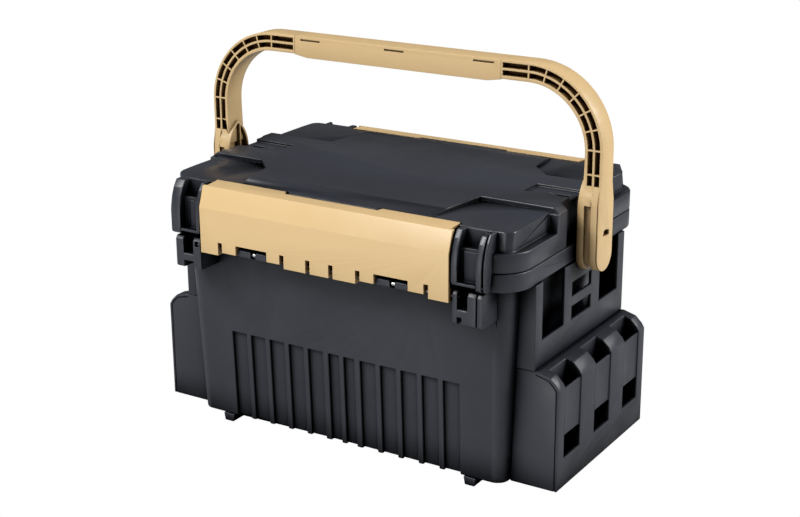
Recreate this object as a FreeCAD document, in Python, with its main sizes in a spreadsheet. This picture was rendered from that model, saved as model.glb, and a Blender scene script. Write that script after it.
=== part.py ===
"""Fishing tackle box that opens from either long side.

A fluted tub with rod holders and tool-hanging frames on its two ends, a flat lid,
a long swing latch on each side and a carry handle.  Millimetres, +Z up, origin on
the ground at the middle of the box, front latch towards -Y.
"""
import FreeCAD
import Part
import Sketcher
import os

doc = FreeCAD.newDocument("tackle_box")
sheet = doc.addObject("Spreadsheet::Sheet", "sizes")

SIZES = [
    # the tub
    ("foot_height", 8.0, "height of the feet under the floor"),
    ("base_half_x", 170.0, "half length of the tub at its floor"),
    ("base_half_y", 104.5, "half depth of the tub at its floor"),
    ("base_round", 12.0, "corner radius at the floor"),
    ("draft_x", 7.0, "how far each end leans out up to the rim"),
    ("draft_y", 7.5, "how far the front and the back lean out up to the rim"),
    ("neck_round", 16.0, "corner radius under the rim"),
    ("rim_under", 198.0, "height of the underside of the rim"),
    ("rim_height", 17.0, "height of the rim"),
    ("rim_out_x", 14.0, "overhang of the rim at each end"),
    ("rim_out_y", 16.0, "overhang of the rim at the front and the back"),
    ("rim_round", 30.0, "corner radius of the rim and the lid"),
    ("wall", 3.0, "moulded wall"),
    ("upstand", 7.0, "height of the collar that stands inside the lid"),
    ("flute_top", 98.0, "height of the top of the flutes"),
    ("flute_depth", 4.0, "depth of a flute"),
    ("flute_width", 16.5, "width of a flute"),
    ("flute_pitch", 22.2, "flute to flute"),
    ("flute_first", 20.8, "inner edge of the first full flute from the middle"),
    ("centre_flute_start", 2.7, "inner edge of the narrow centre flutes"),
    ("centre_flute_end", 14.3, "outer edge of the narrow centre flutes"),
    # rods and knuckles
    ("rod_radius", 1.75, "steel hinge rod"),
    ("rod_out", 6.0, "rod line, distance out from the rim"),
    ("rod_drop", 6.3, "rod line, distance below the rim"),
    ("rod_hold", 5.0, "length of each rod end inside its bracket"),
    ("notch_start", 58.0, "wide latch notch, inner edge"),
    ("notch_end", 93.0, "wide latch notch, outer edge"),
    ("knuckle_slot", 5.0, "gap between the two knuckles of a pair"),
    ("knuckle_grip", 3.6, "knuckle wall round the rod"),
    # clearances
    ("fit_gap", 0.1, "clearance between pieces that are fixed together"),
    ("run_gap", 0.1, "clearance between pieces that turn on each other"),
    ("side_gap", 0.5, "end clearance between pieces that turn"),
    ("lid_gap", 0.4, "clearance between the lid and the rim"),
    ("bracket_gap", 2.5, "clearance between a latch end and a rod bracket"),
    ("lug_gap", 1.5, "clearance between a latch end and a lid lug"),
    # the latches
    ("latch_out", 6.3, "outer face of a latch, distance out from the rod line"),
    ("latch_half", 133.7, "half length of a latch, lower part"),
    ("latch_step", 3.3, "how much shorter each end is above the step"),
    ("latch_step_up", 10.5, "height of that step above the rim's underside"),
    ("latch_below", 5.0, "lower edge of a latch, below the rod line"),
    ("latch_short", 1.7, "lower edge beside the wide notches, below the rod line"),
    ("latch_bevel_down", 20.4, "start of the upper bevel, below the lid pads"),
    ("latch_crease_in", 0.4, "crease between bevel and top strip, inside the rod line"),
    ("latch_crease_down", 1.0, "that crease, below the lid pads"),
    ("latch_tip_up", 0.6, "inner edge of the top strip, above the lid pads"),
    ("latch_wall", 2.8, "latch wall"),
    ("latch_lip", 4.1, "depth of the hooked lip"),
    ("barrel_inner", 4.6, "latch barrel behind the rod line"),
    ("slot_up", 1.2, "top of the latch slots and notches, above the rim's underside"),
    ("slot_width", 4.5, "width of a latch slot"),
    ("slot_near", 10.2, "inner edge of the slots nearest the middle"),
    ("slot_mid", 38.8, "inner edge of the middle slots"),
    ("slot_far", 109.0, "inner edge of the outer slots"),
    ("tab_half", 49.0, "half length of the lid tab in the latch recess"),
    ("tab_reach", 4.5, "how far the tab reaches over the latch line"),
    ("tab_gap", 3.0, "end clearance of the tab"),
    # the lid
    ("ledge_up", 18.0, "height of the ledge round the lid, above the rim"),
    ("pad_up", 36.0, "height of the corner pads, above the rim"),
    ("crown_up", 40.0, "height of the top of the lid, above the rim"),
    ("pad_in_x", 8.5, "how far the pads stand back from the ends"),
    ("pad_in_y", 8.5, "how far the pads stand back from the front and the back"),
    ("pad_tight", 9.0, "corner radius of the pads, front right and rear left"),
    ("pad_easy", 20.0, "corner radius of the pads, front left and rear right"),
    ("pad_inner_x", 111.8, "inner edge of the pads in x"),
    ("pad_slant", 9.2, "how far that edge slants in at the front and the back"),
    ("pad_inner_y", 46.0, "inner edge of the pads in y"),
    ("pad_cut_x", 20.0, "corner cut of the easy pads in x"),
    ("pad_cut_y", 21.0, "corner cut of the easy pads in y"),
    ("band_y", 94.0, "where the front and back bands leave the flat top"),
    ("crown_in", 6.0, "how far the flat top stops short of the ends"),
    ("rebate_in", 14.1, "inner wall of the rebate for the latch lip, in from the rim"),
    ("rebate_down", 4.5, "floor of that rebate, below the pads"),
    ("rebate_flat", 2.7, "flat part of that floor, which the lip holds down"),
    ("bay_half", 31.0, "half width of the side bay for a handle arm"),
    ("bay_deep", 7.8, "depth of the side bay"),
    ("scoop_x", 136.4, "inner end of the recess beside each arm"),
    ("scoop_y", 16.0, "rear edge of that recess"),
    ("scoop_front", 11.0, "front edge of that recess, in front of the middle"),
    ("scoop_depth", 3.0, "depth of that recess"),
    # lugs on the lid corners and rod brackets on the tub, two hands of each
    ("lug_proud", 11.4, "front of a lid lug, out from the rim"),
    ("lug_foot_up", 2.4, "foot of the outer cheek, above the rim's underside"),
    ("lug_sill_up", 5.6, "underside of the sill of a lid lug, above the rim's underside"),
    ("lug_sill", 2.6, "thickness of that sill"),
    ("lug_relief", 0.9, "room behind a lid lug for the rim as the lid turns"),
    ("lug_block_down", 17.5, "top of the block in the lug channel, below the pads"),
    ("lug_long", 33.9, "length of a long lug"),
    ("lug_long_wall", 6.0, "inner cheek of a long lug"),
    ("lug_long_block", 9.5, "start of the block of a long lug"),
    ("lug_long_post", 23.9, "start of its slit outer cheek"),
    ("lug_short", 33.5, "length of a short lug"),
    ("lug_short_wall", 3.9, "inner cheek and start of the block of a short lug"),
    ("lug_short_gap", 14.4, "end of that block"),
    ("lug_short_post", 22.6, "start of its outer cheek"),
    ("bracket_proud", 4.2, "front of a bracket, out from the rod line"),
    ("bracket_long", 29.2, "length of a bracket"),
    ("bracket_slim", 4.6, "narrow inner post of a bracket"),
    ("bracket_broad", 8.8, "broad inner post of a bracket"),
    ("bracket_window", 10.1, "window beside a narrow post"),
    ("bracket_window_broad", 11.6, "window beside a broad post"),
    ("bracket_bar_top", 10.0, "top of the cross bar, below the rod line"),
    ("bracket_bar_low", 17.2, "underside of the cross bar, below the rod line"),
    ("bracket_drop", 24.3, "lowest point of a bracket, below the rod line"),
    # side frames
    ("frame_half_y", 91.5, "half depth of a side frame and a rod holder"),
    ("frame_out", 1.5, "how far a side frame stands out from the rim"),
    ("frame_low", 118.8, "bottom of a side frame"),
    ("frame_wall", 3.0, "wall of a side frame"),
    ("window_low", 143.5, "lower edge of the windows"),
    ("window_near", 38.0, "tall window, inner edge"),
    ("window_far", 78.0, "tall window, outer edge"),
    ("window_wide", 2.5, "how much further in the front tall window reaches"),
    ("middle_half", 20.0, "half width of the middle windows"),
    ("middle_low_top", 156.5, "top of the lower middle window"),
    ("middle_high_low", 166.0, "bottom of the upper middle window"),
    ("middle_high_top", 179.5, "top of the upper middle window"),
    # rod holders
    ("holder_out", 26.0, "outer face of a rod holder, out from the rim"),
    ("holder_ridge", 21.3, "ridge along the top of a rod holder, in from its face"),
    ("holder_shoulder", 9.0, "start of the shoulder, in from the face"),
    ("holder_shoulder_z", 115.3, "height of the shoulder"),
    ("holder_edge_z", 105.0, "height of the outer edge"),
    ("holder_wall", 2.6, "wall of a rod holder"),
    ("pocket_pitch", 62.5, "pocket to pocket"),
    ("pocket_half", 16.0, "half width of a pocket"),
    ("pocket_deep", 16.0, "inner wall of a pocket, in from the face"),
    ("pocket_floor", 4.0, "floor of a pocket"),
    ("pocket_lip_z", 102.5, "height of the outer wall at a pocket"),
    ("panel_depth", 1.4, "depth of the sunk panel in front of a pocket"),
    ("port_low", 36.0, "lower edge of the port in that panel"),
    ("port_high", 57.0, "upper edge of that port"),
    # the handle
    ("foot_thick", 20.5, "thickness of the round foot of an arm"),
    ("handle_rise", 168.0, "top of the handle above its pivots"),
    ("handle_half_y", 11.85, "half depth of the handle"),
    ("arm_thick", 17.0, "thickness of an arm"),
    ("grip_thick", 17.4, "thickness of the cross bar"),
    ("handle_round", 74.0, "outer corner radius"),
    ("pivot_up", 6.0, "height of the handle pivots above the rim's underside"),
    ("pin_radius", 5.0, "handle pivot pin"),
    ("boss_radius", 16.0, "half width of an arm foot"),
    ("boss_straight", 44.0, "straight sides of a foot, above the pivot"),
    ("boss_arch", 28.0, "rise of the pointed arch over those sides"),
    ("groove_top", 47.0, "top of the groove round a foot, above the pivot"),
    ("boss_gap", 0.5, "clearance between an arm foot and the side frame"),
    ("cheek", 6.5, "inner cheek of an arm foot"),
    ("cheek_groove", 6.3, "groove between the cheeks"),
    ("groove_deep", 3.9, "depth of that groove"),
    ("hollow_rim", 2.2, "rim round the hollow of a foot"),
    ("hollow_deep", 6.0, "depth of that hollow"),
    ("cell_rim", 2.4, "rim outside the cells"),
    ("cell_row", 4.7, "width of a row of cells"),
    ("cell_divide", 2.3, "wall between the two rows"),
    ("cell_rib", 1.6, "rib between cells"),
    ("cell_deep", 9.5, "depth of a cell"),
    ("cell_end", 2.0, "gap between the grip sleeve and the first cell"),
    ("cell_arm_end", 64.5, "where the cells stop down an arm, above the pivot"),
    ("cell_step_low", 74.6, "lower level rib of an arm, above the pivot"),
    ("cell_step_high", 96.7, "upper level rib of an arm, above the pivot"),
    ("plate_half", 15.6, "half width of the outer plate of a foot"),
    ("plate_flare", 48.0, "where that plate starts to narrow, above the pivot"),
    ("plate_top", 65.0, "where it runs into the arm, above the pivot"),
    ("grip_half", 112.0, "half length of the grip sleeve"),
    ("grip_flat", 98.0, "half length of its deep part"),
    ("grip_end_drop", 0.7, "how far it hangs below the bar at its ends"),
    ("grip_drop", 3.0, "how far the sleeve hangs below the cross bar"),
    ("grip_wall", 2.3, "wall of the grip sleeve"),
    # feet
    ("foot_in", 130.0, "inner face of a foot"),
    ("foot_width", 13.0, "width of a foot"),
    ("foot_front", 1.1, "outer end of a foot, out from the floor's edge"),
    ("foot_length", 34.0, "length of a foot"),
    ("foot_slope", 3.0, "slope of a foot's sides"),
]


class Size(object):
    """A number together with the sheet formula that gives it."""

    def __init__(self, value, text):
        self.value = value
        self.text = text

    def __add__(self, other):
        other = as_size(other)
        return Size(self.value + other.value, "(%s + %s)" % (self.text, other.text))

    def __sub__(self, other):
        other = as_size(other)
        return Size(self.value - other.value, "(%s - %s)" % (self.text, other.text))

    def __mul__(self, other):
        other = as_size(other)
        return Size(self.value * other.value, "(%s * %s)" % (self.text, other.text))

    def __truediv__(self, other):
        other = as_size(other)
        return Size(self.value / other.value, "(%s / %s)" % (self.text, other.text))

    def __neg__(self):
        return Size(-self.value, "(0 - %s)" % self.text)

    __radd__ = __add__

    def __rsub__(self, other):
        return as_size(other) - self

    __rmul__ = __mul__


def as_size(number):
    """A plain number becomes a Size that reads as itself."""
    if isinstance(number, Size):
        return number
    if number < 0:
        return Size(float(number), "(0 - %g)" % -number)
    return Size(float(number), "%g" % number)


class Sizes(object):
    """The sheet's values by name."""


S = Sizes()
for row, (alias, value, note) in enumerate(SIZES, 1):
    sheet.set("A%d" % row, alias)
    sheet.set("B%d" % row, "%g" % value)
    sheet.set("C%d" % row, note)
    sheet.setAlias("B%d" % row, alias)
    setattr(S, alias, Size(value, "sizes.%s" % alias))
doc.recompute()

# levels and faces that follow from those sizes
S.neck_half_x = S.base_half_x + S.draft_x
S.neck_half_y = S.base_half_y + S.draft_y
S.rim_half_x = S.neck_half_x + S.rim_out_x
S.rim_half_y = S.neck_half_y + S.rim_out_y
S.rim_top = S.rim_under + S.rim_height
S.rod_y = S.rim_half_y + S.rod_out
S.rod_z = S.rim_under - S.rod_drop
S.ledge_z = S.rim_top + S.ledge_up
S.pad_z = S.rim_top + S.pad_up
S.crown_z = S.rim_top + S.crown_up
S.pad_half_x = S.rim_half_x - S.pad_in_x
S.pad_half_y = S.rim_half_y - S.pad_in_y
S.rebate_y = S.rim_half_y - S.rebate_in
S.rebate_z = S.pad_z - S.rebate_down
S.frame_x = S.rim_half_x + S.frame_out
S.holder_x = S.rim_half_x + S.holder_out
S.foot_x = S.frame_x + S.boss_gap
S.handle_half_x = S.foot_x + S.foot_thick
S.pivot_z = S.rim_under + S.pivot_up
S.handle_top = S.pivot_z + S.handle_rise
S.slot_top = S.rim_under + S.slot_up
S.latch_face_y = S.rod_y + S.latch_out
S.latch_tip_y = S.rebate_y + 1
S.latch_tip_z = S.pad_z + S.latch_tip_up
S.latch_bottom = S.rod_z - S.latch_below
S.latch_short_bottom = S.rod_z - S.latch_short
S.latch_bevel_z = S.pad_z - S.latch_bevel_down
S.latch_crease_y = S.rod_y - S.latch_crease_in
S.latch_crease_z = S.pad_z - S.latch_crease_down
S.latch_top_half = S.latch_half - S.latch_step
S.latch_step_z = S.rim_under + S.latch_step_up
S.crown_half_x = S.rim_half_x - S.crown_in
S.bay_x = S.rim_half_x - S.bay_deep
S.lug_in = S.latch_half + S.lug_gap
S.lug_face_y = S.rim_half_y + S.lug_proud
S.lug_foot_z = S.rim_under + S.lug_foot_up
S.lug_sill_z = S.rim_under + S.lug_sill_up
S.lug_block_z = S.pad_z - S.lug_block_down
S.bracket_in = S.latch_half + S.bracket_gap
S.rod_half = S.bracket_in + S.rod_hold

V = FreeCAD.Vector
TURN = {
    "xy": FreeCAD.Rotation(),
    "yz": FreeCAD.Rotation(V(1, 1, 1), 120),
    "xz": FreeCAD.Rotation(V(1, 0, 0), 90),
}


# ---- building blocks -------------------------------------------------------------

def bind(obj, prop, amount):
    """Drive a property from the sheet."""
    obj.setExpression(prop, as_size(amount).text)


def box(name, x, y, z):
    """A block between the given limits."""
    obj = doc.addObject("Part::Box", name)
    for prop, (low, high) in zip(("Length", "Width", "Height"), (x, y, z)):
        bind(obj, prop, as_size(high) - low)
    for axis, (low, high) in zip("xyz", (x, y, z)):
        bind(obj, "Placement.Base.%s" % axis, low)
    return obj


def bar(name, axis, centre, span, radius):
    """A cylinder along an axis; centre gives the other two coordinates in order."""
    obj = doc.addObject("Part::Cylinder", name)
    bind(obj, "Radius", radius)
    bind(obj, "Height", as_size(span[1]) - span[0])
    turn = {"x": FreeCAD.Rotation(V(0, 1, 0), 90), "y": FreeCAD.Rotation(V(1, 0, 0), -90),
            "z": FreeCAD.Rotation()}[axis]
    obj.Placement = FreeCAD.Placement(V(0, 0, 0), turn)
    rest = [letter for letter in "xyz" if letter != axis]
    bind(obj, "Placement.Base.%s" % axis, span[0])
    for letter, place in zip(rest, centre):
        bind(obj, "Placement.Base.%s" % letter, place)
    return obj


def draw(sketch, points):
    """Draw a closed outline whose corners are driven from the sheet."""
    points = [(as_size(u), as_size(v)) for u, v in points]
    count = len(points)
    for k in range(count):
        (u0, v0), (u1, v1) = points[k], points[(k + 1) % count]
        sketch.addGeometry(Part.LineSegment(V(u0.value, v0.value, 0), V(u1.value, v1.value, 0)), False)
    for k in range(count):
        sketch.addConstraint(Sketcher.Constraint("Coincident", k, 2, (k + 1) % count, 1))
    pin_points(sketch, [(k, 1, u, v) for k, (u, v) in enumerate(points)])


def pin_points(sketch, places):
    """Tie points of a sketch to sheet formulas."""
    for geometry, end, u, v in places:
        for kind, amount in (("DistanceX", u), ("DistanceY", v)):
            number = sketch.addConstraint(Sketcher.Constraint(kind, geometry, end, amount.value))
            sketch.setExpression("Constraints[%d]" % number, amount.text)


def draw_rounded(sketch, low, high, radius):
    """Draw a rectangle between two corners, with one radius or with four.

    Four radii go round from the corner at the high u and the low v.
    """
    u0, v0 = (as_size(a) for a in low)
    u1, v1 = (as_size(a) for a in high)
    radii = [as_size(a) for a in (radius if isinstance(radius, (list, tuple)) else [radius] * 4)]
    first, second, third, fourth = radii
    ends = [(u0 + fourth, v0), (u1 - first, v0), (u1, v0 + first), (u1, v1 - second),
            (u1 - second, v1), (u0 + third, v1), (u0, v1 - third), (u0, v0 + fourth)]
    centres = [(u1 - first, v0 + first), (u1 - second, v1 - second),
               (u0 + third, v1 - third), (u0 + fourth, v0 + fourth)]
    quarter = 1.5707963267948966
    for k in range(4):
        a, b = ends[2 * k], ends[2 * k + 1]
        sketch.addGeometry(Part.LineSegment(V(a[0].value, a[1].value, 0), V(b[0].value, b[1].value, 0)), False)
    for k in range(4):
        c = centres[k]
        circle = Part.Circle(V(c[0].value, c[1].value, 0), V(0, 0, 1), radii[k].value)
        sketch.addGeometry(Part.ArcOfCircle(circle, quarter * (k - 1), quarter * k), False)
    for k in range(4):
        sketch.addConstraint(Sketcher.Constraint("Coincident", k, 2, 4 + k, 1))
        sketch.addConstraint(Sketcher.Constraint("Coincident", 4 + k, 2, (k + 1) % 4, 1))
        number = sketch.addConstraint(Sketcher.Constraint("Radius", 4 + k, radii[k].value))
        sketch.setExpression("Constraints[%d]" % number, radii[k].text)
    pin_points(sketch, [(k, 1) + ends[2 * k] for k in range(4)] + [(k, 2) + ends[2 * k + 1] for k in range(4)])


def free_sketch(name, plane, level):
    """A sketch on a plane at a level along the plane's remaining axis."""
    sketch = doc.addObject("Sketcher::SketchObject", name)
    sketch.Placement = FreeCAD.Placement(V(0, 0, 0), TURN[plane])
    axis = {"xy": "z", "yz": "x", "xz": "y"}[plane]
    bind(sketch, "Placement.Base.%s" % axis, level)
    return sketch


def extrude(name, sketch, length):
    """Pull a sketch along its own normal."""
    obj = doc.addObject("Part::Extrusion", name)
    obj.Base = sketch
    obj.DirMode = "Normal"
    obj.Solid = True
    bind(obj, "LengthFwd", length)
    return obj


def prism(name, plane, points, span):
    """A straight-sided block from an outline, between two levels."""
    level = span[1] if plane == "xz" else span[0]
    sketch = free_sketch(name + "_outline", plane, level)
    draw(sketch, points)
    return extrude(name, sketch, as_size(span[1]) - span[0])


def slab(name, plane, low, high, radius, span):
    """A rounded block between two levels."""
    level = span[1] if plane == "xz" else span[0]
    sketch = free_sketch(name + "_outline", plane, level)
    draw_rounded(sketch, low, high, radius)
    return extrude(name, sketch, as_size(span[1]) - span[0])


def about(half_x, half_y):
    """Opposite corners of a rectangle about the middle."""
    return (-half_x, -half_y), (half_x, half_y)


def taper(name, bottom, top):
    """A drafted block: each end is (half x, half y, corner radius, height)."""
    ends = []
    for word, (half_x, half_y, radius, level) in (("low", bottom), ("high", top)):
        sketch = free_sketch("%s_%s" % (name, word), "xy", level)
        low, high = about(half_x, half_y)
        draw_rounded(sketch, low, high, radius)
        ends.append(sketch)
    obj = doc.addObject("Part::Loft", name)
    obj.Sections = ends
    obj.Solid = True
    obj.Ruled = True
    return obj


def fuse(name, shapes):
    obj = doc.addObject("Part::MultiFuse", name)
    obj.Shapes = shapes
    obj.Refine = True
    return obj


def cut(name, base, tools):
    """Take the tools away from the base."""
    if len(tools) > 1:
        tool = doc.addObject("Part::MultiFuse", name + "_tools")
        tool.Shapes = tools
    else:
        tool = tools[0]
    obj = doc.addObject("Part::Cut", name)
    obj.Base = base
    obj.Tool = tool
    obj.Refine = True
    return obj


def common(name, shapes):
    obj = doc.addObject("Part::MultiCommon", name)
    obj.Shapes = shapes
    return obj


def mirror(name, source, axis):
    """The same piece on the other side of the middle."""
    obj = doc.addObject("Part::Mirroring", name)
    obj.Source = source
    obj.Base = V(0, 0, 0)
    obj.Normal = {"x": V(1, 0, 0), "y": V(0, 1, 0)}[axis]
    return obj


def turned(name, source):
    """The same piece on the opposite corner, turned half round."""
    return mirror(name, mirror(name + "_half", source, "x"), "y")


nodes = []


def node(name, obj):
    """Name a finished piece."""
    obj.Label = name
    nodes.append((name, obj))
    return obj


# ---- PartDesign bodies -----------------------------------------------------------

def new_body(name):
    return doc.addObject("PartDesign::Body", name)


def plane_of(body, plane):
    role = {"xy": "XY_Plane", "xz": "XZ_Plane", "yz": "YZ_Plane"}[plane]
    return [feature for feature in body.Origin.OriginFeatures if feature.Role == role][0]


def body_sketch(body, name, plane, offset=None):
    """A sketch on one of the body's own planes, shifted along the plane's normal."""
    sketch = body.newObject("Sketcher::SketchObject", name)
    sketch.AttachmentSupport = (plane_of(body, plane), [""])
    sketch.MapMode = "FlatFace"
    if offset is not None:
        bind(sketch, "AttachmentOffset.Base.z", offset)
    return sketch


def pad(body, name, sketch, length, both=False):
    feature = body.newObject("PartDesign::Pad", name)
    feature.Profile = sketch
    bind(feature, "Length", length)
    feature.Midplane = both
    body.Tip = feature
    return feature


def pocket(body, name, sketch, length, both=False, back=False):
    feature = body.newObject("PartDesign::Pocket", name)
    feature.Profile = sketch
    bind(feature, "Length", length)
    feature.Midplane = both
    feature.Reversed = back
    body.Tip = feature
    return feature


def both_ends(body, name, features):
    """Repeat features on the other side of the body's YZ plane."""
    feature = body.newObject("PartDesign::Mirrored", name)
    feature.Originals = features
    feature.MirrorPlane = (plane_of(body, "yz"), [""])
    body.Tip = feature
    return feature


# ---- the tub ---------------------------------------------------------------------

def tub_shape(name, x_more, y_more, low, high):
    """The drafted outside of the tub, made larger or smaller by the given amounts."""
    return taper(name,
                 (S.base_half_x + x_more, S.base_half_y + y_more, S.base_round, low),
                 (S.neck_half_x + x_more, S.neck_half_y + y_more, S.neck_round, high))


def flutes():
    """The flutes low on the front and back walls, down through the bottom edge."""
    spans = [(S.centre_flute_start, S.centre_flute_end)]
    for k in range(5):
        start = S.flute_first + S.flute_pitch * k
        spans.append((start, start + S.flute_width))
    blocks = []
    for number, (start, end) in enumerate(spans):
        for side, (x0, x1) in (("r", (start, end)), ("l", (-end, -start))):
            blocks.append(box("flute_%s%d" % (side, number), (x0, x1),
                              (-S.rim_half_y, S.rim_half_y), (S.foot_height - 1, S.flute_top)))
    core = tub_shape("flute_core", as_size(6), -S.flute_depth, S.foot_height - 1, S.rim_under)
    return cut("flutes", fuse("flute_blocks", blocks), [core])


def knuckles():
    """Blocks that carry the rods, two in each wide notch of the latches."""
    front = S.rod_y + S.knuckle_grip
    low = S.rod_z - S.knuckle_grip
    top = S.rod_z + S.knuckle_grip
    profile = [(-S.neck_half_y + 1.5, S.rod_z - 13), (-S.rod_y, low - 1.2), (-front, low + 1),
               (-front, top - 1.2), (-front + 1.2, top), (-S.rod_y + 3.4, top),
               (-S.rim_half_y + 1, S.rim_under + 1), (-S.neck_half_y + 1.5, S.rim_under + 1)]
    middle = (S.notch_start + S.notch_end) / 2
    spans = [(S.notch_start + S.side_gap, middle - S.knuckle_slot / 2),
             (middle + S.knuckle_slot / 2, S.notch_end - S.side_gap)]
    pieces = []
    for number, (start, end) in enumerate(spans):
        for side, span in (("r", (start, end)), ("l", (-end, -start))):
            piece = prism("knuckle_%s%d" % (side, number), "yz", profile, span)
            pieces += [piece, mirror("knuckle_back_%s%d" % (side, number), piece, "y")]
    return pieces


def rod_bores(name, length, radius):
    """The two rod lines as cutting tools."""
    return [bar("%s_%s" % (name, word), "x", (y, S.rod_z), (-length, length), radius)
            for word, y in (("front", -S.rod_y), ("rear", S.rod_y))]


def make_tub():
    outside = tub_shape("tub_outside", as_size(0), as_size(0), S.foot_height, S.rim_under + 2)
    neck_low, neck_high = about(S.neck_half_x, S.neck_half_y)
    collar = slab("tub_collar", "xy", neck_low, neck_high, S.neck_round,
                  (S.rim_under + 1, S.rim_top + S.upstand))
    low, high = about(S.rim_half_x, S.rim_half_y)
    rim = slab("rim_block", "xy", low, high, S.rim_round, (S.rim_under, S.rim_top))
    low, high = about(S.rim_half_x - S.wall, S.rim_half_y - S.wall)
    hollow = slab("rim_hollow", "xy", low, high, S.rim_round - S.wall,
                  (S.rim_under - 1, S.rim_top - S.wall))
    band = cut("rim_band", rim, [hollow])
    pivots = [box("pivot_seat_%s" % word, x, (-S.boss_radius - 2, S.boss_radius + 2),
                  (S.rim_under, S.rim_top - 1))
              for word, x in (("r", (S.neck_half_x - 2, S.rim_half_x - 1)),
                              ("l", (-S.rim_half_x + 1, -S.neck_half_x + 2)))]
    body = fuse("tub_body", [outside, collar, band] + pivots + knuckles())
    inside_low = taper("tub_inside_low",
                       (S.base_half_x - S.wall, S.base_half_y - S.wall - S.flute_depth,
                        S.base_round - S.wall, S.foot_height + S.wall),
                       (S.base_half_x, S.base_half_y - 0.2, S.base_round - S.wall,
                        S.flute_top + S.wall))
    inside_high = taper("tub_inside_high",
                        (S.base_half_x, S.base_half_y, S.base_round - S.wall, S.flute_top + S.wall - 0.5),
                        (S.neck_half_x - S.wall, S.neck_half_y - S.wall, S.neck_round - S.wall,
                         S.rim_under))
    low, high = about(S.neck_half_x - S.wall, S.neck_half_y - S.wall)
    mouth = slab("tub_mouth", "xy", low, high, S.neck_round - S.wall,
                 (S.rim_under - 0.5, S.rim_top + S.upstand + 1))
    pins = [bar("pin_seat_%s" % word, "x", (0, S.pivot_z), span, S.pin_radius + S.fit_gap)
            for word, span in (("r", (S.neck_half_x, S.rim_half_x + 2)),
                               ("l", (-S.rim_half_x - 2, -S.neck_half_x)))]
    bores = rod_bores("tub_rod", S.notch_end + 5, S.rod_radius + S.fit_gap)
    return node("tub", cut("tub", body, [inside_low, inside_high, mouth, flutes()] + pins + bores))


def make_rods():
    """The two steel rods that the latches turn on."""
    for name, y in (("front_rod", -S.rod_y), ("rear_rod", S.rod_y)):
        node(name, bar(name, "x", (y, S.rod_z), (-S.rod_half, S.rod_half), S.rod_radius))


def bracket(name, post, opening, low_opening, slit):
    """A rod bracket on the front right of the tub.

    The inner post has the given thickness, the openings above and below the cross bar
    the given widths, and a slit may split the outer post.
    """
    face = -S.rod_y - S.bracket_proud
    wall_y = -S.neck_half_y + 4
    inner = S.bracket_in + post
    far = inner + opening
    outer = S.bracket_in + S.bracket_long
    top = S.rim_under - S.fit_gap
    low = S.rod_z - S.bracket_drop
    bar_top, bar_low = S.rod_z - S.bracket_bar_top, S.rod_z - S.bracket_bar_low
    block = prism(name + "_block", "yz",
                  [(face + 2.5, top), (face, top - 3), (face, low + 1.5), (face + 1.5, low), (wall_y, low),
                   (wall_y, top)], (S.bracket_in, outer))
    window = prism(name + "_window", "yz",
                   [(face - 1, bar_top - 1), (face, bar_top - 1), (face + 1, bar_top), (face + 14, bar_top),
                    (face + 14, top + 1), (face - 1, top + 1)], (inner, far))
    under = box(name + "_under", (inner, inner + low_opening), (face - 1, wall_y - 1), (low - 1, bar_low))
    tools = [window, under]
    if slit:
        tools.append(box(name + "_slit", (outer - 6.2, outer - 5.0), (face - 1, face + 4), (low - 1, top + 1)))
    else:
        tools.append(box(name + "_mouth", (S.bracket_in + 2.4, S.rod_half + 1.4), (face - 1, -S.rod_y),
                         (S.rod_z - 1.75, S.rod_z + 3.2)))
    tools.append(bar(name + "_bore", "x", (-S.rod_y, S.rod_z), (S.bracket_in - 1, S.rod_half + S.fit_gap),
                     S.rod_radius + S.fit_gap))
    tools.append(tub_shape(name + "_seat", S.fit_gap, S.fit_gap, S.foot_height, S.rim_under))
    return cut(name, block, tools)


def make_brackets():
    """Rod brackets below the lid lugs: each hand serves two opposite corners."""
    first = bracket("bracket_slim", S.bracket_slim, S.bracket_window, 4.4, True)
    second = bracket("bracket_broad", S.bracket_broad, S.bracket_window_broad, S.bracket_window_broad, False)
    node("tub_lug_fr", first)
    node("tub_lug_rl", turned("bracket_rl", first))
    node("tub_lug_fl", mirror("bracket_fl", second, "x"))
    node("tub_lug_rr", mirror("bracket_rr", second, "y"))


def make_feet():
    """Four tapered feet under the corners of the tub."""
    half = S.foot_width / 2
    middle = S.foot_in + half
    foot_front = S.base_half_y + S.foot_front
    body = new_body("foot")
    sketch = body_sketch(body, "foot_outline", "xz", foot_front - S.foot_length)
    draw(sketch, [(middle - half, S.foot_height), (middle - half + S.foot_slope / 2, 0),
                  (middle + half - S.foot_slope / 2, 0), (middle + half, S.foot_height)])
    pad(body, "foot_block", sketch, S.foot_length)
    sketch = body_sketch(body, "foot_heel_outline", "yz", middle - half - 1)
    draw(sketch, [(-foot_front - 1, 0), (-foot_front - 1, -1), (-foot_front + S.foot_length + 1, -1),
                  (-foot_front + S.foot_length + 1, S.foot_height),
                  (-foot_front + S.foot_length - S.foot_slope, 0)])
    pocket(body, "foot_heel", sketch, S.foot_width + 2, back=True)
    node("foot_fr", body)
    left = node("foot_fl", mirror("foot_left", body, "x"))
    node("foot_rr", mirror("foot_rear", body, "y"))
    node("foot_rl", mirror("foot_rear_left", left, "y"))


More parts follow.
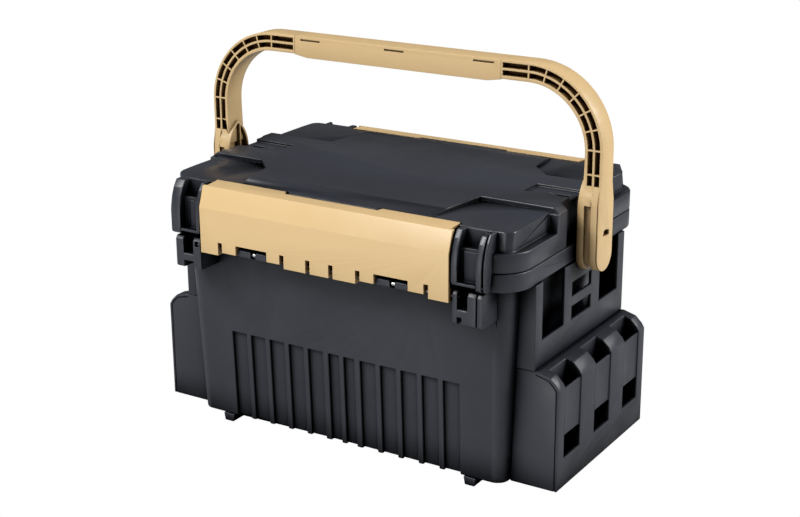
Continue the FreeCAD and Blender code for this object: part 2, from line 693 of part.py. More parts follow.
def make_frames():
    """Open frames on the two ends, under the rim, for hanging tools."""
    body = new_body("side_frame")
    top = S.rim_under - S.fit_gap
    sketch = body_sketch(body, "frame_plate_outline", "yz", S.frame_x - S.frame_wall)
    draw(sketch, [(-S.frame_half_y, S.frame_low), (S.frame_half_y, S.frame_low),
                  (S.frame_half_y, top), (-S.frame_half_y, top)])
    pad(body, "frame_plate", sketch, S.frame_wall)
    for word, y0, y1 in (("front", -S.frame_half_y, -S.frame_half_y + S.frame_wall),
                         ("rear", S.frame_half_y - S.frame_wall, S.frame_half_y)):
        sketch = body_sketch(body, "frame_%s_outline" % word, "yz", S.base_half_x)
        draw(sketch, [(y0, S.frame_low), (y1, S.frame_low), (y1, top), (y0, top)])
        pad(body, "frame_%s_cheek" % word, sketch, S.frame_x - S.frame_wall / 2 - S.base_half_x)
    sketch = body_sketch(body, "frame_floor_outline", "yz", S.base_half_x)
    draw(sketch, [(-S.frame_half_y, S.frame_low), (S.frame_half_y, S.frame_low),
                  (S.frame_half_y, S.frame_low + S.frame_wall), (-S.frame_half_y, S.frame_low + S.frame_wall)])
    pad(body, "frame_floor", sketch, S.frame_x - S.frame_wall / 2 - S.base_half_x)
    windows = [("front", -S.window_far, S.window_wide - S.window_near, S.window_low, top + 1),
               ("rear", S.window_near, S.window_far, S.window_low, top + 1),
               ("mid_low", -S.middle_half, S.middle_half, S.window_low, S.middle_low_top),
               ("mid_high", -S.middle_half, S.middle_half, S.middle_high_low, S.middle_high_top)]
    for word, y0, y1, z0, z1 in windows:
        sketch = body_sketch(body, "window_%s_outline" % word, "yz", S.frame_x - S.frame_wall - 1)
        draw(sketch, [(y0, z0), (y1, z0), (y1, z1), (y0, z1)])
        pocket(body, "window_%s" % word, sketch, S.frame_wall + 2, back=True)
    seat = tub_shape("frame_seat", S.fit_gap, S.fit_gap, S.foot_height, S.rim_under)
    right = node("side_frame_right", cut("frame_right", body, [seat]))
    node("side_frame_left", mirror("frame_left", right, "x"))


def make_holders():
    """Rod holders on the two ends: three open pockets with a port low in each."""
    top = S.frame_low - S.fit_gap
    half = S.frame_half_y
    shoulder, ridge = S.holder_x - S.holder_shoulder, S.holder_x - S.holder_ridge
    pocket_in = S.holder_x - S.pocket_deep
    block = prism("holder_block", "xz",
                  [(S.base_half_x - 8, S.foot_height), (S.holder_x - 0.5, S.foot_height),
                   (S.holder_x, S.foot_height + 0.5), (S.holder_x, S.holder_edge_z),
                   (S.holder_x - 2.5, S.holder_edge_z + 4), (shoulder, S.holder_shoulder_z),
                   (ridge, top), (S.base_half_x - 8, top)], (-half, half))
    tools = [tub_shape("holder_seat", S.fit_gap, S.fit_gap, S.foot_height, S.rim_under)]
    wall = S.holder_wall
    tools.append(box("holder_core", (S.base_half_x - 8, pocket_in - wall), (-half + S.wall, half - S.wall),
                     (S.foot_height - 1, S.frame_low - S.wall)))
    edges = [-half + S.wall - wall]
    for k in (-1, 0, 1):
        y = S.pocket_pitch * k
        y0, y1 = y - S.pocket_half, y + S.pocket_half
        word = "abc"[k + 1]
        tools.append(box("pocket_%s" % word, (pocket_in, S.holder_x - S.panel_depth - wall), (y0, y1),
                         (S.foot_height + S.pocket_floor, S.frame_low + 5)))
        tools.append(box("pocket_mouth_%s" % word, (pocket_in, S.holder_x + 1), (y0, y1),
                         (S.pocket_lip_z, S.frame_low + 5)))
        tools.append(box("panel_%s" % word, (S.holder_x - S.panel_depth, S.holder_x + 1), (y0, y1),
                         (S.port_low, S.pocket_lip_z + 1)))
        tools.append(box("port_%s" % word, (pocket_in + 1, S.holder_x + 1), (y0, y1),
                         (S.port_low, S.port_high)))
        edges += [y0, y1]
    edges.append(half - S.wall + wall)
    for number in range(4):
        y0, y1 = edges[2 * number] + wall, edges[2 * number + 1] - wall
        tools.append(box("holder_void_%d" % number, (pocket_in - wall - 1, S.holder_x - wall), (y0, y1),
                         (S.foot_height - 1, S.pocket_lip_z - wall)))
    edge = S.holder_edge_z
    line = [(S.holder_x - 2.2, S.foot_height - 1), (S.holder_x - 2.2, edge - 0.7),
            (S.holder_x - 4.3, edge + 2.4), (shoulder - 1, S.holder_shoulder_z - 2.3),
            (ridge - 2, top - 2.3), (ridge - 2, top - 3.4), (shoulder - 1.4, S.holder_shoulder_z - 3.3),
            (S.holder_x - 5.1, edge + 1.6), (S.holder_x - 3.2, edge - 1), (S.holder_x - 3.2, S.foot_height - 1)]
    for word, y0, y1 in (("front", -half - 1, -half + 0.8), ("rear", half - 0.8, half + 1)):
        tools.append(prism("holder_line_%s" % word, "xz", line, (y0, y1)))
    right = node("rod_holder_right", cut("holder_right", block, tools))
    node("rod_holder_left", mirror("holder_left", right, "x"))


# ---- the latches -----------------------------------------------------------------

def make_latches():
    """The long latches: a bent plate on a rod barrel, hooked over the lid edge."""
    face, wall = -S.latch_face_y, S.latch_wall
    crease, tip = -S.latch_crease_y, -S.latch_tip_y
    barrel = -S.rod_y + S.barrel_inner
    outline = [(face, S.latch_bottom), (face, S.latch_bevel_z), (crease, S.latch_crease_z),
               (tip, S.latch_tip_z), (tip, S.latch_tip_z - S.latch_lip),
               (tip - wall, S.latch_tip_z - S.latch_lip), (tip - wall, S.latch_tip_z - wall),
               (crease + wall * 0.6, S.latch_crease_z - wall), (face + wall, S.latch_bevel_z - wall * 0.2),
               (face + wall, S.slot_top), (barrel - 1.6, S.slot_top - 1.4), (barrel, S.slot_top - 3.6),
               (barrel, S.latch_bottom + 2), (barrel - 1.6, S.latch_bottom)]
    body = new_body("latch")
    sketch = body_sketch(body, "latch_profile", "yz")
    draw(sketch, outline)
    pad(body, "latch_plate", sketch, S.latch_half * 2, both=True)
    sketch = body_sketch(body, "latch_end_profile", "yz", S.latch_top_half - wall)
    draw(sketch, [(face + 1, S.slot_top), (face + 1, S.latch_bevel_z), (crease + 1, S.latch_crease_z - 1),
                  (crease + 6.5, S.latch_crease_z - 1), (face + 7, S.latch_bevel_z - 3),
                  (face + 7, S.slot_top)])
    end_rib = pad(body, "latch_end_rib", sketch, wall)
    ribs = [end_rib]
    for number, place in enumerate((S.slot_far - 6, S.notch_start - 8, S.slot_near + S.slot_width + 8)):
        sketch = body_sketch(body, "latch_rib_profile_%d" % number, "yz", place)
        draw(sketch, [(face + 1, S.slot_top), (face + 1, S.latch_bevel_z),
                      (crease + 1, S.latch_crease_z - 1), (-S.rim_half_y - 2.5, S.latch_crease_z - 1),
                      (-S.rim_half_y - 5, S.slot_top + 10), (barrel - 4, S.slot_top)])
        ribs.append(pad(body, "latch_rib_%d" % number, sketch, 1.6))
    openings = []
    sketch = body_sketch(body, "latch_end_outline", "xz", -face - 40)
    draw(sketch, [(S.latch_top_half, S.latch_step_z), (S.latch_half + 1, S.latch_step_z),
                  (S.latch_half + 1, S.latch_tip_z + 5), (S.latch_top_half, S.latch_tip_z + 5)])
    openings.append(pocket(body, "latch_end_cut", sketch, 60, both=True))
    spans = [("near", S.slot_near, S.slot_near + S.slot_width, S.slot_top),
             ("mid", S.slot_mid, S.slot_mid + S.slot_width, S.slot_top),
             ("far", S.slot_far, S.slot_far + S.slot_width, S.slot_top),
             ("notch", S.notch_start, S.notch_end, S.slot_top),
             ("step_in", S.slot_mid + S.slot_width - 0.5, S.notch_start + 0.5, S.latch_short_bottom),
             ("step_out", S.notch_end - 0.5, S.slot_far + 0.5, S.latch_short_bottom)]
    for word, x0, x1, z1 in spans:
        sketch = body_sketch(body, "latch_%s_outline" % word, "xz", -face - 10)
        draw(sketch, [(x0, S.latch_bottom - 5), (x1, S.latch_bottom - 5), (x1, z1), (x0, z1)])
        openings.append(pocket(body, "latch_%s" % word, sketch, 60, both=True))
    both_ends(body, "latch_other_end", ribs + openings)
    sketch = body_sketch(body, "latch_recess_outline", "xy", S.latch_tip_z - 15)
    reach = tip - S.tab_reach
    draw(sketch, [(-S.tab_half - S.tab_gap, tip + 5), (-S.tab_half - S.tab_gap, tip),
                  (-S.tab_half - 0.8, reach - 0.6), (S.tab_half + 0.8, reach - 0.6),
                  (S.tab_half + S.tab_gap, tip), (S.tab_half + S.tab_gap, tip + 5)])
    pocket(body, "latch_recess", sketch, 40, back=True)
    sketch = body_sketch(body, "latch_bore_outline", "yz")
    ring = sketch.addGeometry(Part.Circle(V(-S.rod_y.value, S.rod_z.value, 0), V(0, 0, 1),
                                          S.rod_radius.value + S.run_gap.value), False)
    number = sketch.addConstraint(Sketcher.Constraint("Radius", ring,
                                                      S.rod_radius.value + S.run_gap.value))
    sketch.setExpression("Constraints[%d]" % number, (S.rod_radius + S.run_gap).text)
    pin_points(sketch, [(ring, 3, -S.rod_y, S.rod_z)])
    pocket(body, "latch_bore", sketch, S.latch_half * 2 + 10, both=True)
    node("front_latch", body)
    node("rear_latch", mirror("latch_rear", body, "y"))


# ---- the lid ---------------------------------------------------------------------

def make_lid():
    """A shallow moulded lid with sunk corner pads, side bays and a latch rebate."""
    seat = S.rim_top + S.lid_gap
    low, high = about(S.rim_half_x, S.rim_half_y)
    skirt = slab("lid_skirt", "xy", low, high, S.rim_round, (seat, S.ledge_z))
    low, high = about(S.pad_half_x, S.pad_half_y)
    rounds = [S.pad_tight, S.pad_easy, S.pad_tight, S.pad_easy]
    pads = slab("lid_pads", "xy", low, high, rounds, (S.ledge_z - 1, S.pad_z))
    waist = box("lid_waist", (-S.rim_half_x, S.rim_half_x), (-S.pad_inner_y - 4, S.pad_inner_y + 4),
                (S.ledge_z - 1, S.pad_z - 0.5))
    band = S.rebate_y
    ridge = prism("lid_ridge_block", "yz",
                  [(-band, S.pad_z - 2), (-band, S.pad_z + 0.4), (-S.band_y, S.crown_z),
                   (S.band_y, S.crown_z), (band, S.pad_z + 0.4), (band, S.pad_z - 2)],
                  (-S.pad_inner_x, S.pad_inner_x))
    edge = S.pad_inner_x - S.pad_slant
    ends = prism("lid_ridge_ends", "xy",
                 [(-edge, -band), (edge, -band), (S.pad_inner_x, -S.pad_inner_y),
                  (S.pad_inner_x, S.pad_inner_y), (edge, band), (-edge, band), (-S.pad_inner_x, S.pad_inner_y),
                  (-S.pad_inner_x, -S.pad_inner_y)], (S.pad_z - 2, S.crown_z))
    ridge = common("lid_ridge", [ridge, ends])
    crown = prism("lid_crown", "xz",
                  [(-S.rim_half_x, S.pad_z - 2), (-S.rim_half_x, S.pad_z - 0.5), (-S.crown_half_x, S.crown_z),
                   (S.crown_half_x, S.crown_z), (S.rim_half_x, S.pad_z - 0.5), (S.rim_half_x, S.pad_z - 2)],
                  (-S.pad_inner_y, S.pad_inner_y))
    inset = S.pad_inner_x - S.pad_slant
    corner = prism("lid_corner", "xy",
                   [(inset, S.pad_inner_y - 1), (S.pad_inner_x + S.pad_cut_x, S.pad_inner_y - 1),
                    (S.pad_inner_x - 2.8, S.pad_inner_y + S.pad_cut_y), (inset, S.pad_inner_y + S.pad_cut_y)],
                   (S.pad_z - 2, S.crown_z))
    solid = fuse("lid_solid", [skirt, pads, waist, ridge, crown, corner, turned("lid_corner_fl", corner)])
    wall = S.wall
    low, high = about(S.rim_half_x - wall, S.rim_half_y - wall)
    under = slab("lid_under_block", "xy", low, high, S.rim_round - wall, (seat - 1, S.ledge_z - wall))
    bays = []
    for word, side in (("r", 1), ("l", -1)):
        x = (S.bay_x - wall, S.rim_half_x + 1) if side == 1 else (-S.rim_half_x - 1, -S.bay_x + wall)
        bays.append(box("bay_keep_%s" % word, x, (-S.bay_half - wall, S.bay_half + wall),
                        (seat - 2, S.ledge_z)))
    under = cut("lid_under", under, bays)
    low, high = about(S.pad_half_x - wall, S.pad_half_y - wall)
    pads_in = slab("lid_pads_in", "xy", low, high, [a - wall for a in rounds], (seat + 5, S.rebate_z - 2.4))
    crown_in = box("lid_crown_in", (-edge + wall, edge - wall),
                   (-S.band_y + wall, S.band_y - wall), (S.pad_z - 8, S.crown_z - wall))
    tools = [under, pads_in, crown_in]
    for word, x in (("r", (S.bay_x, S.rim_half_x + 5)), ("l", (-S.rim_half_x - 5, -S.bay_x))):
        tools.append(box("bay_%s" % word, x, (-S.bay_half, S.bay_half), (seat - 1, S.crown_z + 1)))
    for word, side in (("r", 1), ("l", -1)):
        floor, far = S.crown_z - S.scoop_depth, S.rim_half_x + 5
        spans = [("scoop", 0, far - S.scoop_x, -S.scoop_front, S.scoop_y, floor)]
        spans += [("scoop_slot%d" % k, x0, x1, y0, y1, floor - 3)
                  for k, (x0, x1, y0, y1) in enumerate(((17, 23.5, 1, 4), (27.5, 40, -0.5, 4.5)))]
        for name, x0, x1, y0, y1, low in spans:
            x0, x1 = side * (S.scoop_x + x0), side * (S.scoop_x + x1)
            tools.append(box("%s_%s" % (name, word), (x0, x1) if side == 1 else (x1, x0), (y0, y1),
                             (low, S.crown_z + 1)))
    room = S.latch_top_half + 1.4
    lip, low = S.rebate_y + S.rebate_flat, S.rebate_z - 1.9
    rebate = prism("rebate_front", "yz",
                   [(-S.rebate_y, S.crown_z + 1), (-S.rebate_y, S.rebate_z), (-lip, S.rebate_z),
                    (-lip - 2.5, low), (-S.rim_half_y - 1, low), (-S.rim_half_y - 1, S.crown_z + 1)],
                   (-room, room))
    tools += [rebate, mirror("rebate_rear", rebate, "y")]
    shell = cut("lid_shell", solid, tools)
    tab = prism("lid_tab_front", "xy",
                [(-S.tab_half, -S.rebate_y + 1), (-S.tab_half + 2, -S.rebate_y - S.tab_reach),
                 (S.tab_half - 2, -S.rebate_y - S.tab_reach), (S.tab_half, -S.rebate_y + 1)],
                (S.rebate_z - 1, S.pad_z + 0.4))
    node("lid", fuse("lid", [shell, tab, mirror("lid_tab_rear", tab, "y")]))


def lug(name, wall, block, post, length, slit):
    """A channelled lug on the front right corner of the lid.

    wall is the thickness of the inner cheek, block the span of the block in the channel,
    post the start of the outer cheek and length its end; a slit may split that cheek.
    """
    face = -S.lug_face_y
    back = -S.pad_half_y - S.fit_gap
    skirt = -S.rim_half_y - S.fit_gap
    ledge = S.ledge_z + S.fit_gap
    top = S.pad_z - 0.2

    def cheek(word, foot, span, drop):
        x = (S.lug_in + span[0], S.lug_in + span[1])
        high = top - drop
        return prism("%s_%s" % (name, word), "yz",
                     [(back, high), (-S.rim_half_y - 1, high), (face + 5.8, high - 6.6),
                      (face + 2.8, high - 14), (face + 0.7, high - 23), (face, high - 29),
                      (face, foot + 2), (face + 2, foot), (skirt - 3.5, foot), (skirt, S.rim_top + 3), (skirt, ledge), (back, ledge)], x)

    pieces = [cheek("inner", S.lug_sill_z, (0, wall), 0)]
    if slit:
        pieces.append(cheek("post", S.lug_foot_z, (post, post + 5.8), 2.6))
        pieces.append(cheek("outer", S.lug_foot_z, (post + 7.4, length), 0))
    else:
        pieces.append(cheek("outer", S.lug_foot_z, (post, length), 0))
    across = (S.lug_in + 1, S.lug_in + length - 1)
    clear = skirt - S.lug_relief
    pieces.append(box(name + "_back", across, (skirt - 2.4, skirt), (S.rim_top + 0.4, S.lug_block_z)))
    pieces.append(box(name + "_apron", across, (skirt - 2.4, clear), (S.lug_sill_z, S.rim_top + 1)))
    pieces.append(box(name + "_shelf", across, (skirt - 2.4, back), (ledge, ledge + 2.4)))
    pieces.append(box(name + "_wall", across, (back - 2, back), (ledge, top)))
    pieces.append(box(name + "_block", (S.lug_in + block[0], S.lug_in + block[1]), (face + 6, clear),
                      (S.lug_sill_z, S.lug_block_z)))
    pieces.append(box(name + "_sill", across, (face + 0.4, clear), (S.lug_sill_z, S.lug_sill_z + S.lug_sill)))
    return fuse(name, pieces)


def make_lugs():
    """Lugs beside the ends of the latches: each hand serves two opposite corners."""
    first = lug("lug_long", S.lug_long_wall, (S.lug_long_block, S.lug_long_post + 0.5), S.lug_long_post,
                S.lug_long, True)
    second = lug("lug_short", S.lug_short_wall, (S.lug_short_wall - 0.5, S.lug_short_gap), S.lug_short_post,
                 S.lug_short, False)
    node("lid_lug_fr", first)
    node("lid_lug_rl", turned("lug_rl", first))
    node("lid_lug_fl", mirror("lug_fl", second, "x"))
    node("lid_lug_rr", mirror("lug_rr", second, "y"))


# ---- the handle ------------------------------------------------------------------

def corner_cells():
    """Two rows of cells round each upper corner, cut from front and back."""
    r, rim, row, rib = S.handle_round, S.cell_rim, S.cell_row, S.cell_rib
    centre_x, centre_z = S.handle_half_x - r, S.handle_top - r
    half = S.handle_half_y
    start_x, end_z = S.grip_half + S.cell_end, S.pivot_z + S.cell_arm_end
    rings = []
    faces = (("f", -half - 1, -half + S.cell_deep), ("b", half - S.cell_deep, half + 1))
    offsets = [rim, rim + row + S.cell_divide]
    for word, y0, y1 in faces:
        for k, off in enumerate(offsets):
            tag = "%s%d" % (word, k)
            big = bar("cell_big_" + tag, "y", (centre_x, centre_z), (y0, y1), r - off)
            small = bar("cell_small_" + tag, "y", (centre_x, centre_z), (y0 - 1, y1 + 1), r - off - row)
            quarter = box("cell_quarter_" + tag, (centre_x, S.handle_half_x), (y0, y1),
                          (centre_z, S.handle_top))
            rings.append(cut("cell_ring_" + tag, common("cell_arc_" + tag, [big, quarter]), [small]))
            rings.append(box("cell_bar_" + tag, (start_x, centre_x), (y0, y1),
                             (S.handle_top - off - row, S.handle_top - off)))
            rings.append(box("cell_arm_" + tag, (S.handle_half_x - off - row, S.handle_half_x - off),
                             (y0, y1), (end_z, centre_z)))
    spokes = []
    for number in range(6):
        spoke = box("cell_spoke_%d" % number, (0, r + 5), (-half - 2, half + 2), (-rib / 2, rib / 2))
        turn = FreeCAD.Rotation(V(0, 1, 0), 14.4 * number - 89.1)
        spoke.Placement = FreeCAD.Placement(V(0, 0, 0), turn)
        bind(spoke, "Placement.Base.x", centre_x)
        bind(spoke, "Placement.Base.y", -half - 2)
        bind(spoke, "Placement.Base.z", centre_z)
        spokes.append(spoke)
    for word, rise in (("low", S.cell_step_low), ("high", S.cell_step_high)):
        z = S.pivot_z + rise
        spokes.append(box("cell_step_" + word, (S.handle_half_x - 30, S.handle_half_x),
                          (-half - 2, half + 2), (z - rib / 2, z + rib / 2)))
    right = cut("cells_right", fuse("cell_rings", rings), spokes)
    return [right, mirror("cells_left", right, "x")]


def arch(name, half, span, low):
    """A pointed arch standing on straight sides, and round below when low is the pivot."""
    spring = S.pivot_z + S.boss_straight
    radius = (S.boss_arch * S.boss_arch / S.boss_radius + S.boss_radius) / 2 + half - S.boss_radius
    shift = radius - half
    lens = common(name + "_lens", [bar(name + "_near", "x", (-shift, spring), span, radius),
                                   bar(name + "_far", "x", (shift, spring), span, radius)])
    pieces = [lens, box(name + "_sides", span, (-half, half), (low, spring))]
    if low is S.pivot_z:
        pieces.append(bar(name + "_round", "x", (0, S.pivot_z), span, half))
    return fuse(name, pieces)


def plate(name, half, span):
    """The outer plate of an arm foot, narrowing up into the arm."""
    flare, top = S.pivot_z + S.plate_flare, S.pivot_z + S.plate_top
    outline = [(-S.handle_half_y, top), (-half, flare), (-half, S.pivot_z), (half, S.pivot_z),
               (half, flare), (S.handle_half_y, top)]
    return [prism(name + "_plate", "yz", outline, span),
            bar(name + "_round", "x", (0, S.pivot_z), span, half)]


def arm_foot():
    """The round foot of the right arm: an arched cheek, a groove and an outer plate."""
    inner, groove = S.foot_x, S.foot_x + S.cheek
    outer = groove + S.cheek_groove
    block = arch("foot_arch", S.boss_radius, (inner, outer), S.pivot_z)
    web = S.boss_radius - S.groove_deep
    ring = cut("foot_ring", box("foot_ring_block", (groove, outer), (-S.boss_radius - 1, S.boss_radius + 1),
                                (S.pivot_z - S.boss_radius - 1, S.pivot_z + S.groove_top)),
               [box("foot_web", (groove - 1, outer + 1), (-web, web), (S.pivot_z, S.pivot_z + S.groove_top + 1)),
                bar("foot_web_round", "x", (0, S.pivot_z), (groove - 1, outer + 1), web)])
    hollow = arch("foot_hollow_arch", S.boss_radius - S.hollow_rim, (inner - 1, inner + S.hollow_deep),
                  S.pivot_z + 18)
    rib = box("foot_hollow_rib", (inner - 2, inner + S.hollow_deep + 1), (2.2, 3.8),
              (S.pivot_z + 10, S.pivot_z + 80))
    base = cut("foot_base", block, [ring, cut("foot_hollow", hollow, [rib])])
    half, skin = S.plate_half, S.handle_half_x
    plates = plate("foot_face", half, (outer, skin - 1.5))
    plates += plate("foot_line", half - 0.8, (skin - 2, skin - 0.5))
    return [base] + plates + plate("foot_skin", half, (skin - 0.7, skin))


def make_handle():
    """The carry handle: a bail with ribbed corners and round pivoting feet."""
    half = S.handle_half_y
    bottom = S.pivot_z - S.handle_round * 2
    outer = slab("bail_outer", "xz", (-S.handle_half_x, bottom), (S.handle_half_x, S.handle_top),
                 S.handle_round, (-half, half))
    inner_x = S.handle_half_x - S.arm_thick
    inner = slab("bail_inner", "xz", (-inner_x, bottom + 1), (inner_x, S.handle_top - S.grip_thick),
                 S.handle_round - S.arm_thick, (-half - 1, half + 1))
    below = box("bail_below", (-S.handle_half_x - 1, S.handle_half_x + 1), (-half - 1, half + 1),
                (bottom - 1, S.pivot_z + S.boss_straight + 6))
    bail = cut("bail", outer, [inner, below])
    lower = box("arm_lower", (S.foot_x + S.cheek + S.cheek_groove - 1, S.handle_half_x), (-half, half),
                (S.pivot_z + S.boss_straight - 2, S.pivot_z + S.boss_straight + 7))
    feet = arm_foot() + [lower]
    other = [mirror("left_" + piece.Name, piece, "x") for piece in feet]
    solid = fuse("handle_solid", [bail] + feet + other)
    grip = S.grip_half + S.fit_gap
    wall = S.grip_wall + S.fit_gap
    inner_z = S.handle_top - S.grip_thick
    waist = [box("grip_seat_top", (-grip, grip), (-half - 1, half + 1),
                 (S.handle_top - wall, S.handle_top + 1)),
             box("grip_seat_front", (-grip, grip), (-half - 1, -half + wall),
                 (inner_z - 1, S.handle_top + 1)),
             box("grip_seat_back", (-grip, grip), (half - wall, half + 1), (inner_z - 1, S.handle_top + 1))]
    blind = S.handle_half_x - 3
    bores = []
    for side, x in (("r", (S.foot_x - 1, blind)), ("l", (-blind, -S.foot_x + 1))):
        bores.append(bar("pin_bore_" + side, "x", (0, S.pivot_z), x, S.pin_radius + S.run_gap))
    for side, x in (("r", (S.handle_half_x - 6, S.handle_half_x + 1)),
                    ("l", (-S.handle_half_x - 1, -S.handle_half_x + 6))):
        z = S.pivot_z + S.boss_radius
        bores.append(prism("arm_hole_" + side, "yz", 
                           [(-5.2, z + 1.2), (-1.4, z + 1.8), (1.9, z + 0.6), (8, z + 0.9), (7.8, z + 5.1),
                            (1.4, z + 6.9), (-2.8, z + 6.5)], x))
    node("handle", cut("handle", solid, corner_cells() + waist + bores))
    end_z, low_z = inner_z - S.grip_end_drop, inner_z - S.grip_drop
    sleeve = prism("sleeve_block", "xz",
                   [(-S.grip_half, end_z), (-S.grip_flat, low_z), (S.grip_flat, low_z), (S.grip_half, end_z),
                    (S.grip_half, S.handle_top), (-S.grip_half, S.handle_top)], (-half, half))
    core = box("sleeve_core", (-S.grip_half - 1, S.grip_half + 1),
               (-half + S.grip_wall, half - S.grip_wall), (inner_z - S.fit_gap, S.handle_top - S.grip_wall))
    slits = []
    for word, x0, x1 in (("left", -S.grip_half + 7, -S.grip_half + 29), ("mid", as_size(-10.5), as_size(10.5)),
                         ("right", S.grip_half - 28, S.grip_half - 7)):
        slits.append(box("slit_%s" % word, (x0, x1), (-half - 1, -half + 1.8),
                         (S.handle_top - 4.4, S.handle_top - 2.8)))
    node("handle_grip", cut("handle_grip", sleeve, [core] + slits))
    for side, x in (("right", (S.neck_half_x + 1, blind - 0.6)), ("left", (-blind + 0.6, -S.neck_half_x - 1))):
        node("handle_pin_%s" % side, bar("handle_pin_%s" % side, "x", (0, S.pivot_z), x, S.pin_radius))


make_tub()
make_rods()
make_brackets()
make_feet()
make_frames()
make_holders()
make_latches()
make_lid()
make_lugs()
make_handle()


# ---- check and save --------------------------------------------------------------

doc.recompute()
os.makedirs("parts", exist_ok=True)
for name, obj in nodes:
    bad = [state for state in obj.State if state in ("Invalid", "Error")]
    shape = obj.Shape
    if bad or shape.isNull() or not shape.isValid() or not shape.Solids:
        raise RuntimeError("%s did not build" % name)
    if len(shape.Solids) != 1:
        print("note: %s has %d solids" % (name, len(shape.Solids)))
    shape.exportStep("parts/%s.step" % name)
    print(name, [round(v, 1) for v in (shape.BoundBox.XMin, shape.BoundBox.XMax, shape.BoundBox.YMin,
                                       shape.BoundBox.YMax, shape.BoundBox.ZMin, shape.BoundBox.ZMax)],
          round(shape.Volume / 1000.0, 1))
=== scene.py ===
"""Looks of a portable tackle box: moulded charcoal body, tan latches and handle, steel rods."""

import math

import bmesh
import bpy
from bpy.props import FloatProperty, FloatVectorProperty, PointerProperty
from mathutils import Matrix, Vector


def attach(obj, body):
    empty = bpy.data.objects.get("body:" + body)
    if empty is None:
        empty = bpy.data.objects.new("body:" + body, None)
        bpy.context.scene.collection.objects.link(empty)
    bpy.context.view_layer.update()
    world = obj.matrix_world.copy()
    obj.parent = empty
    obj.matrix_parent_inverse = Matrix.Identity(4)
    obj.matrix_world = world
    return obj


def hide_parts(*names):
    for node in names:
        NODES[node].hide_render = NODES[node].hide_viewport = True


bl_info = {
    "name": "Tackle box looks",
    "version": (1, 0, 0),
    "blender": (4, 5, 0),
    "location": "View3D > Sidebar > Tackle Box",
    "description": "Dresses the packed tackle box with eased edges, moulded plastic and steel",
    "category": "Object",
}

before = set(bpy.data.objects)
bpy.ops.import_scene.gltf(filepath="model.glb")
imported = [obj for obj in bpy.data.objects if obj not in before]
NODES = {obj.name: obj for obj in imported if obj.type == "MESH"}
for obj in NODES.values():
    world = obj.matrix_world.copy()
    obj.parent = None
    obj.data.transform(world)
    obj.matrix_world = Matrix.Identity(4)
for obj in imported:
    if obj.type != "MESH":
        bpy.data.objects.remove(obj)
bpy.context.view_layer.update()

TUB_SHELL = ("tub",)
TUB_BRACKETS = ("tub_lug_fr", "tub_lug_fl", "tub_lug_rr", "tub_lug_rl")
TUB_FEET = ("foot_fr", "foot_fl", "foot_rr", "foot_rl")
TUB_FRAMES = ("side_frame_right", "side_frame_left")
TUB_HOLDERS = ("rod_holder_right", "rod_holder_left")
LID_SHELL = ("lid",)
LID_LUGS = ("lid_lug_fr", "lid_lug_fl", "lid_lug_rr", "lid_lug_rl")
STEEL_NODES = ("front_rod", "rear_rod", "handle_pin_right", "handle_pin_left")

# Charcoal mouldings: least and most roughness, grain scale, reach of the painted shade in recesses
# (m)
CHARCOAL_MOULDINGS = {
    "charcoal_shell": (0.40, 0.52, 1400.0, 0.040),
    "charcoal_frames": (0.40, 0.52, 1400.0, 0.035),
    "charcoal_brackets": (0.36, 0.46, 1700.0, 0.022),
    "charcoal_holders": (0.40, 0.52, 1400.0, 0.040),
    "charcoal_lid": (0.32, 0.42, 1100.0, 0.022),
    "charcoal_lugs": (0.34, 0.44, 1700.0, 0.022),
}
CHARCOAL_CLOUD = {"scale": 9.0, "detail": 4.0}
CHARCOAL_TONES = (0.9, 1.1)
CHARCOAL_WEAR = {"scale": 38.0, "detail": 5.0}
# Painted shade: ambient occlusion span that darkens the charcoal to its deep colour in recesses and
# dims its shine there
CHARCOAL_PAINTED_SHADE_SPAN = (0.45, 0.97)
CHARCOAL_PAINTED_SHADE = 0.09
CHARCOAL_SHINE = 0.38
CHARCOAL_GRAIN = {"detail": 2.0, "rough": 0.6}
CHARCOAL_GRAIN_DEPTH = 0.45
CHARCOAL_RIPPLE = {"scale": 26.0, "detail": 2.0}
CHARCOAL_RIPPLE_DEPTH = 0.25

# Tan mouldings: least and most roughness, depth of colour, shine
TAN_MOULDINGS = {
    "tan_latches": (0.34, 0.42, 0.90, 0.5),
    "tan_handle": (0.42, 0.52, 0.78, 0.4),
    "tan_grip": (0.46, 0.56, 0.78, 0.4),
}
TAN_FLOW = {"scale": 6.0, "detail": 3.0, "rough": 0.5, "stretch": (0.4, 1.0, 1.6)}
TAN_TONES = (0.96, 1.04)
TAN_WEAR = {"scale": 55.0, "detail": 4.0}
# Painted shade: reach and ambient occlusion span that darken the tan to its deep colour in recesses
# and dim its shine there
TAN_PAINTED_SHADE_REACH = 0.020
TAN_PAINTED_SHADE_SPAN = (0.25, 0.95)
TAN_PAINTED_SHADE = (0.12, 0.07, 0.03)
TAN_GRAIN = {"scale": 1900.0, "detail": 2.0, "rough": 0.6}
TAN_GRAIN_DEPTH = 0.3
TAN_RIPPLE = {"scale": 30.0, "detail": 2.0}
TAN_RIPPLE_DEPTH = 0.2

STEEL_LINES = {"scale": 600.0, "detail": 3.0, "rough": 0.5, "stretch": (0.02, 1.0, 1.0)}
STEEL_TONES = (0.85, 1.1)
STEEL_ROUGHNESS = (0.22, 0.36)
STEEL_LINE_DEPTH = 0.2
STEEL_BUMP = 0.00003

# Which edges of a moulding are eased, and by how much where room is short (m)
WELD = 0.000002
FLAT_TURN = math.radians(0.6)
CORNER_TURN = math.radians(28.0)
CREASE_TURN = math.radians(9.0)
CREASE_ROOM = 0.006
ACROSS_SHARE = 0.5
ROOM_SHARE = 0.4
LEAST_WEIGHT = 0.02
EDGE_SEGMENTS = 2
GRIP_SEGMENTS = 3

